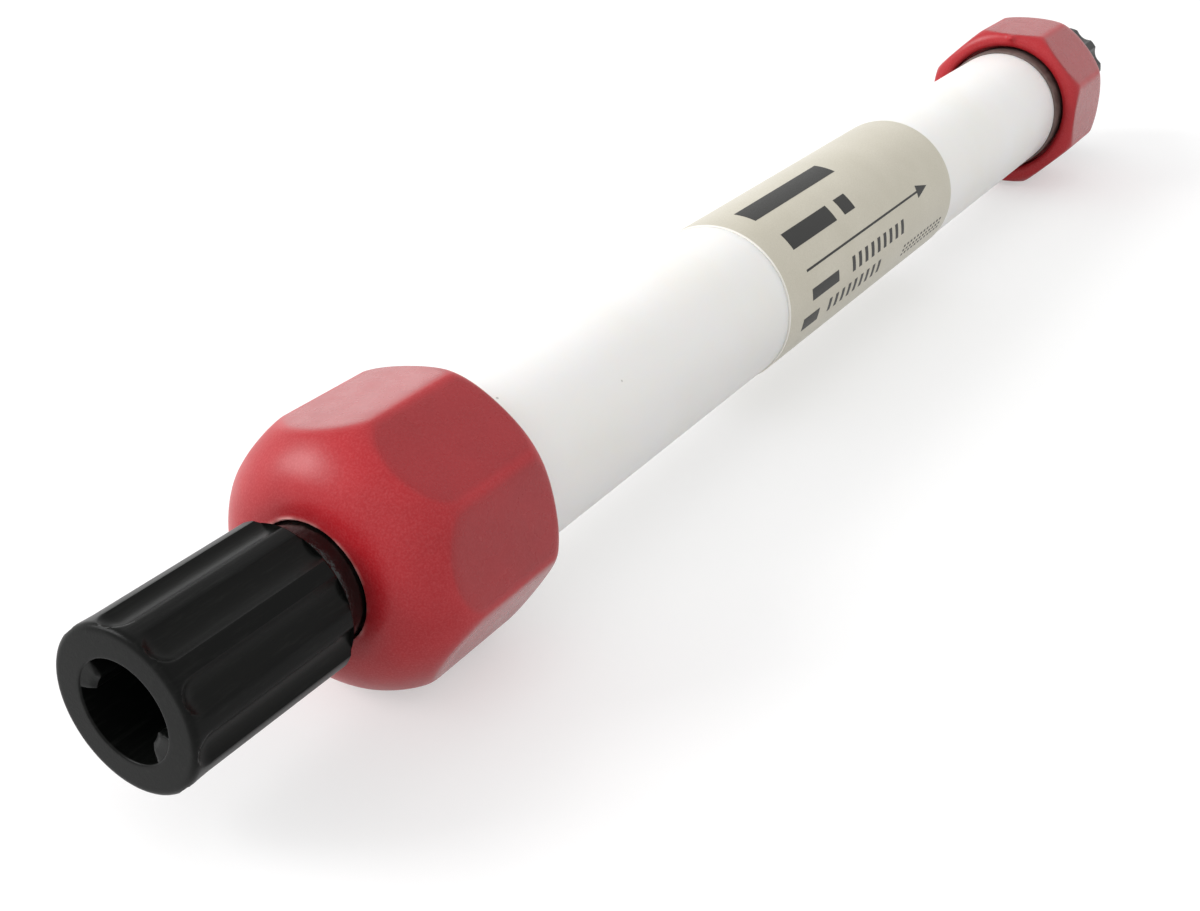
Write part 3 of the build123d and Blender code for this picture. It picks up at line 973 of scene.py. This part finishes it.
class COLUMN_OT_nuts(bpy.types.Operator):
    """Build the cap nuts with their mouth rims, flats, domes, nose holes and inner threads."""

    bl_idname = "column.make_nuts"
    bl_label = "Make nuts"

    def execute(self, context):
        sizes = context.scene.column_nut_settings
        material = polypropylene_red(sizes.colour)
        tree, thread = flats_tree(), thread_tree()
        for end in OUTWARD:
            mesh = turned(f"{end}_nut_dressed", self.outline(sizes), 384)
            mark_points(mesh, "thread", self.on_thread)
            mark_points(mesh, "flash", self.on_flash_and_highlight)
            self.raise_flash(mesh)
            if end == "outlet":
                self.raise_gate(mesh)
            values = {"Pitch": NUT_PITCH, "Depth": sizes.thread_depth, "Material": material}
            mesh = run_tree(mesh, thread, values)
            values = {
                "Flats": sizes.flats,
                "Across flats": sizes.across_flats,
                "Corner blend": sizes.corner_blend,
                "Material": material,
            }
            mesh = run_tree(mesh, tree, values)
            turn = math.degrees(sizes.inlet_turn) if end == "inlet" else 0.0
            mesh.transform(end_matrix(end, turn))
            finish_mesh(mesh, material, 40)
            place(mesh, f"{end}_nut_dressed", f"{end}_cap", [f"{end}_nut"])
        return {"FINISHED"}

    def outline(self, sizes):
        """The nut's section, from inside its mouth over the dome to its nose hole and back."""
        mouth, corner = sizes.mouth, sizes.across_corners / 2
        crest, shoulder_end = (mouth + sizes.crest, NUT_MOUTH), NUT_MOUTH + 1.3 * MM
        mouth_depth, dome_start = 1.7 * MM, NUT_NOSE - 4.2 * MM
        hole, cavity, bore = 3.66 * MM, 5.8 * MM, 6.05 * MM
        shoulder, thread_top = 56.16 * MM, 54.2 * MM
        points = [(mouth, NUT_MOUTH + mouth_depth), (mouth, NUT_MOUTH + 0.4 * MM)]
        points += bend(
            points[-1], (mouth, NUT_MOUTH + 0.15 * MM), (crest[0] - 0.3 * MM, NUT_MOUTH), crest, 10
        )
        points += bend(
            crest,
            (crest[0] + 0.65 * MM, NUT_MOUTH),
            (corner - 0.07 * MM, NUT_MOUTH + 0.6 * MM),
            (corner, shoulder_end),
            30,
        )
        wall_end = (corner, dome_start)
        points += split(points[-1], wall_end, 0.14 * MM)[1:] + [wall_end]
        nose = (4.4 * MM, NUT_NOSE)
        points += bend(wall_end, (corner, dome_start + 1.6 * MM), (6.7 * MM, NUT_NOSE), nose, 48)
        rim = (hole + 0.1 * MM, NUT_NOSE)
        points += split(points[-1], rim, 0.12 * MM)[1:] + [
            rim, (hole + 0.03 * MM, NUT_NOSE - 0.02 * MM)
        ]
        points += [(hole, NUT_NOSE - 0.12 * MM), (hole, shoulder), (cavity, shoulder)]
        points += [(cavity, thread_top)]
        points += split((bore, thread_top), (bore, NUT_MOUTH + mouth_depth), 0.09 * MM)
        points += [(bore, NUT_MOUTH + mouth_depth)]
        return points

    def on_thread(self, radius, distance, angle):
        """-1 inside the threaded bore, whose grooves go outwards."""
        inside = 6.0 * MM < radius < 6.06 * MM and 50.9 * MM < distance < 53.9 * MM
        return -1.0 if inside else 0.0

    def flash_height(self, angle):
        """How much flash stands at an angle round the nose hole, from 0 to about 1."""
        # The first wave puts the most flash, and so the palest painted highlight, at the inlet
        # nut's lit upper side
        waves = 0.3 * math.sin(angle + 0.9) + 0.25 * math.sin(
            5 * angle + 1
        ) + 0.2 * math.sin(13 * angle)
        return max(0.05, 0.4 + waves + 0.1 * math.sin(29 * angle))

    def on_flash_and_highlight(self, radius, distance, angle):
        """The paleness of the thin flash at the rim of the nose hole, partly a painted highlight on
        the inlet nut's lit upper side.
        """
        if distance < NUT_NOSE - 0.3 * MM or radius > 4.2 * MM:
            return 0.0
        return self.flash_height(angle) * max(0.0, min(1.0, 1 - (radius - 3.72 * MM) / (0.18 * MM)))

    def raise_flash(self, mesh):
        """A thin uneven lip of flash on the rim of the nose hole."""
        for vertex in mesh.vertices:
            radius = math.hypot(vertex.co.x, vertex.co.y)
            if vertex.co.z < NUT_NOSE - 0.05 * MM or radius > 4.0 * MM:
                continue
            angle = math.atan2(vertex.co.y, vertex.co.x)
            weight = max(0.0, 1 - abs(radius - 3.74 * MM) / (0.16 * MM))
            vertex.co.z += 0.06 * MM * self.flash_height(angle) * weight

    def raise_gate(self, mesh):
        """The small nub that the moulding gate left on the rim, near its outer edge."""
        turn, radius, reach, height = math.radians(1.9), 7.55 * MM, 0.36 * MM, 0.38 * MM
        centre = Vector((radius * math.cos(turn), radius * math.sin(turn), NUT_MOUTH + 0.08 * MM))
        for vertex in mesh.vertices:
            away = (vertex.co - centre).length
            if away < 2 * reach:
                vertex.co.z -= height * math.exp(-((away / reach) ** 2))


class COLUMN_OT_plugs(bpy.types.Operator):
    """Build the stop plugs with fluted grips, ribbed recesses, necks and screws."""

    bl_idname = "column.make_plugs"
    bl_label = "Make plugs"

    def execute(self, context):
        sizes = context.scene.column_plug_settings
        material, gloss = plug_black(sizes.colour), plug_gloss()
        flutes, thread = flutes_tree(), thread_tree()
        turns = {"inlet": math.degrees(sizes.inlet_turn), "outlet": math.degrees(sizes.outlet_turn)}
        neck_length, screw_length = 3.3 * MM, 4.0 * MM
        fade = math.sqrt(sizes.flute_radius**2 - (sizes.flute_radius - sizes.flute_depth) ** 2)
        stops = {"inlet": 0.12 * MM, "outlet": -2.0 * MM}
        for end in OUTWARD:
            rear = near_reach(f"{end}_plug", end) + neck_length + screw_length
            face = far_reach(f"{end}_plug", end)
            grip_length = face - rear
            outline = self.outline(sizes.grip, grip_length, neck_length, screw_length)
            mesh = turned(f"{end}_plug_dressed", outline, 320)
            mark_points(mesh, "thread", self.on_thread)
            mark_points(
                mesh, "neck", lambda radius, distance, _: float(-neck_length < distance < 0)
            )
            values = {"Pitch": PLUG_PITCH, "Depth": sizes.thread_depth, "Material": material}
            mesh = run_tree(mesh, thread, values)
            self.raise_ribs(mesh, grip_length)
            values = {
                "Flutes": sizes.flutes,
                "Flute radius": sizes.flute_radius,
                "Flute centre": sizes.grip - sizes.flute_depth + sizes.flute_radius,
                "Flute end": grip_length - stops[end] - fade,
                "Grip start": 0.02 * MM,
                "Ridge blend": 0.14 * MM,
                "Material": material,
            }
            mesh = run_tree(mesh, flutes, values)
            lift = Matrix.Translation((0, 0, rear))
            mesh.transform(end_matrix(end, turns[end]) @ lift)
            finish_mesh(mesh, material, 36)
            self.polish_neck(mesh, gloss)
            place(mesh, f"{end}_plug_dressed", f"{end}_stopper", [f"{end}_plug"])
        return {"FINISHED"}

    def outline(self, grip, grip_length, neck_length, screw_length):
        """The plug's section from the screw's tip, over the grip, to the recess's floor."""
        screw, neck, undercut, bore = 2.38 * MM, 3.54 * MM, 3.04 * MM, 2.81 * MM
        stud, stud_depth = 0.85 * MM, 1.45 * MM
        tip = -neck_length - screw_length
        bore_floor = grip_length * 0.28
        rim, fine = 0.35 * MM, 0.14 * MM
        points = [
            (0.0, tip + stud_depth), (stud, tip + stud_depth), (stud, tip), (screw - 0.2 * MM, tip)
        ]
        points += split((screw, tip + 0.2 * MM), (screw, -neck_length), 0.05 * MM)
        points += [
            (screw, -neck_length), (neck, -neck_length), (neck, -0.4 * MM), (undercut, -0.4 * MM)
        ]
        rear = len(points)
        points += [(undercut, 0.0), (grip - 0.25 * MM, 0.0), (grip, 0.25 * MM), (grip, grip_length)]
        points += [(bore, grip_length), (bore, bore_floor), (0.0, bore_floor)]
        rounds = {
            rear - 3: 0.25 * MM,
            rear - 2: 0.18 * MM,
            rear + 1: 0.1 * MM,
            rear + 2: 0.1 * MM,
            rear + 3: rim,
            rear + 4: 0.12 * MM,
            rear + 5: 0.3 * MM,
        }
        rounded = soften(points, rounds)
        outline = []
        for start, end in zip(rounded, rounded[1:]):
            on_grip = end[1] > 0 and start[1] >= 0
            outline += split(start, end, fine if on_grip else 10 * MM)
        return outline + [rounded[-1]]

    def on_thread(self, radius, distance, angle):
        """1 on the screw's side, clear of its ends."""
        return float(2.3 * MM < radius < 2.4 * MM and -7.0 * MM < distance < -3.6 * MM)

    def polish_neck(self, mesh, gloss):
        """Give the neck's faces the glossy finish."""
        mesh.materials.append(gloss)
        on_neck = [value.value > 0.5 for value in mesh.attributes["neck"].data]
        indices = [int(all(on_neck[v] for v in polygon.vertices)) for polygon in mesh.polygons]
        mesh.polygons.foreach_set("material_index", indices)

    def raise_ribs(self, mesh, grip_length):
        """Two round-cornered ribs in the recess, opposite each other and each under a ridge."""
        bore, height, half_width, set_back = 2.81 * MM, 0.86 * MM, 1.0 * MM, 0.05 * MM
        across_ribs = Vector((-math.sin(math.radians(54)), math.cos(math.radians(54)), 0.0))
        for vertex in mesh.vertices:
            radius = math.hypot(vertex.co.x, vertex.co.y)
            inside = bore * 0.55 < radius < bore + 0.01 * MM and vertex.co.z > grip_length * 0.2
            if not inside:
                continue
            side = max(0.0, min(1.0, (half_width - abs(vertex.co.dot(across_ribs))) / (0.45 * MM)))
            depth = max(0.0, min(1.0, (grip_length - set_back - vertex.co.z) / (0.2 * MM)))
            inner = bore - height * (1 - (1 - side) ** 2) ** 0.5 * (1 - (1 - depth) ** 2) ** 0.5
            if radius > inner:
                vertex.co.x *= inner / radius
                vertex.co.y *= inner / radius


class COLUMN_OT_inner_finishes(bpy.types.Operator):
    """Give the pieces inside the ends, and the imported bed, their finishes."""

    bl_idname = "column.finish_inner_pieces"
    bl_label = "Finish inner pieces"

    def execute(self, context):
        finishes = {
            "packed_bed": sintered_beads("Packed agarose beads, wet", "EFECE2", "CFCABB", 0.12),
            "end_piece": turned_plastic(
                "Polypropylene, natural, machined", "EFECE6", "DCD8CF", 0.38
            ),
            "end_seal": rubber_black(),
            "frit": sintered_beads("Polyethylene frit, sintered", "F6F5F1", "D9D6CE", 0.09),
            "frit_ring": turned_plastic("Polyethylene ring, pressed", "F1EFEA", "E2DFD7", 0.45),
            "slip_ring": turned_plastic("Acetal slip ring, machined", "F4F3EF", "E6E4DC", 0.3),
            "plug_seal": turned_plastic("Fluoropolymer seal, machined", "ECEAE2", "DAD7CC", 0.28),
        }
        for name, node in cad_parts.items():
            kind = name.removeprefix("inlet_").removeprefix("outlet_")
            if kind in finishes:
                node.data.materials.clear()
                node.data.materials.append(finishes[kind])
        return {"FINISHED"}


class COLUMN_OT_stage(bpy.types.Operator):
    """Build the floor, lamps, even sky and camera."""

    bl_idname = "column.make_stage"
    bl_label = "Make stage"

    def execute(self, context):
        sizes = context.scene.column_stage_settings
        self.make_floor()
        self.make_sky(sizes.sky)
        self.make_lamp("key_lamp", (-0.52, 0.62, 0.46), 0.42, sizes.key_watts)
        self.make_lamp("back_lamp", (0.50, 0.80, 0.30), 0.5, sizes.back_watts)
        self.make_lamp("fill_lamp", (-0.75, -0.25, 0.45), 0.7, sizes.fill_watts)
        self.make_camera(sizes.focal)
        context.scene.view_settings.view_transform = "Standard"
        return {"FINISHED"}

    def make_floor(self):
        """A plain pale floor that stays white round the column and keeps its shadow."""
        half = 3.0
        mesh = bpy.data.meshes.new("floor")
        corners = [(-half, -half), (half, -half), (half, half), (-half, half)]
        mesh.from_pydata([(x, y, FLOOR_HEIGHT) for x, y in corners], [], [(0, 1, 2, 3)])
        floor = bpy.data.objects.new("floor", mesh)
        bpy.context.scene.collection.objects.link(floor)
        material = bpy.data.materials.new("Floor, matt white board")
        material.use_nodes = True
        tree = material.node_tree
        shader = tree.nodes["Principled BSDF"]
        shader.inputs["Base Color"].default_value = [*linear("C8C8C8"), 1.0]
        shader.inputs["Roughness"].default_value = 0.9
        shader.inputs["Specular IOR Level"].default_value = 0.2
        # Lamps and sky light the board to about half of white, and the glow adds the rest
        white = add_node(tree, MATH, [sees_white(tree), 0.46], operation="MULTIPLY")
        glow = add_node(tree, "ShaderNodeEmission", {"Strength": white})
        both = add_node(tree, "ShaderNodeAddShader", [shader, glow])
        tree.links.new(both.outputs[0], tree.nodes["Material Output"].inputs["Surface"])
        mesh.materials.append(material)

    def make_sky(self, strength):
        """Even light, white where the camera, gloss or glass sees it."""
        world = bpy.data.worlds.new("Studio")
        bpy.context.scene.world = world
        world.use_nodes = True
        tree = world.node_tree
        background = tree.nodes["Background"]
        background.inputs["Color"].default_value = (1.0, 1.0, 1.0, 1.0)
        level = add_node(tree, RANGE, [sees_white(tree), 0.0, 1.0, strength, 1.0])
        tree.links.new(level.outputs[0], background.inputs["Strength"])

    def make_lamp(self, name, place_at, size, watts):
        """A square lamp that faces the column's middle."""
        data = bpy.data.lights.new(name, "AREA")
        data.shape = "SQUARE"
        data.size = size
        data.energy = watts
        lamp = bpy.data.objects.new(name, data)
        lamp.location = place_at
        lamp.rotation_euler = (-Vector(place_at)).to_track_quat("-Z", "Y").to_euler()
        bpy.context.scene.collection.objects.link(lamp)

    def make_camera(self, focal):
        """A camera close beyond the inlet plug, looking down along the column."""
        data = bpy.data.cameras.new("camera")
        data.lens = focal
        data.sensor_width = 36.0
        data.sensor_fit = "HORIZONTAL"
        data.clip_start = 0.005
        camera = bpy.data.objects.new("camera", data)
        camera.location = Vector((-110.597, -48.597, 43.422)) * MM
        sight = Vector((0.75212, 0.46523, -0.46677))
        camera.rotation_euler = sight.to_track_quat("-Z", "Y").to_euler()
        bpy.context.scene.collection.objects.link(camera)
        bpy.context.scene.camera = camera


class COLUMN_PT_panel(bpy.types.Panel):
    """Lists the column's sizes and the steps that build it."""

    bl_label = "Column"
    bl_idname = "COLUMN_PT_panel"
    bl_space_type = "VIEW_3D"
    bl_region_type = "UI"
    bl_category = "Column"

    def draw(self, context):
        for operator in OPERATORS:
            self.layout.operator(operator.bl_idname)
        for attribute, group in SETTINGS.items():
            box = self.layout.box()
            box.label(text=group.__name__)
            for name in group.__annotations__:
                box.prop(getattr(context.scene, attribute), name)


OPERATORS = [
    COLUMN_OT_tube,
    COLUMN_OT_label,
    COLUMN_OT_guard_rings,
    COLUMN_OT_nuts,
    COLUMN_OT_plugs,
    COLUMN_OT_inner_finishes,
    COLUMN_OT_stage,
]


def register():
    """Register the settings, operators and panel."""
    for group in (*SETTINGS.values(), *OPERATORS, COLUMN_PT_panel):
        bpy.utils.register_class(group)
    for attribute, group in SETTINGS.items():
        setattr(bpy.types.Scene, attribute, PointerProperty(type=group))


def unregister():
    """Remove what register added."""
    for attribute in SETTINGS:
        delattr(bpy.types.Scene, attribute)
    for group in reversed((*SETTINGS.values(), *OPERATORS, COLUMN_PT_panel)):
        bpy.utils.unregister_class(group)


def main():
    """Build everything in order."""
    register()
    bpy.ops.column.make_tube()
    bpy.ops.column.make_label()
    bpy.ops.column.make_guard_rings()
    bpy.ops.column.make_nuts()
    bpy.ops.column.make_plugs()
    bpy.ops.column.finish_inner_pieces()
    bpy.ops.column.make_stage()


if __name__ == "__main__":
    main()
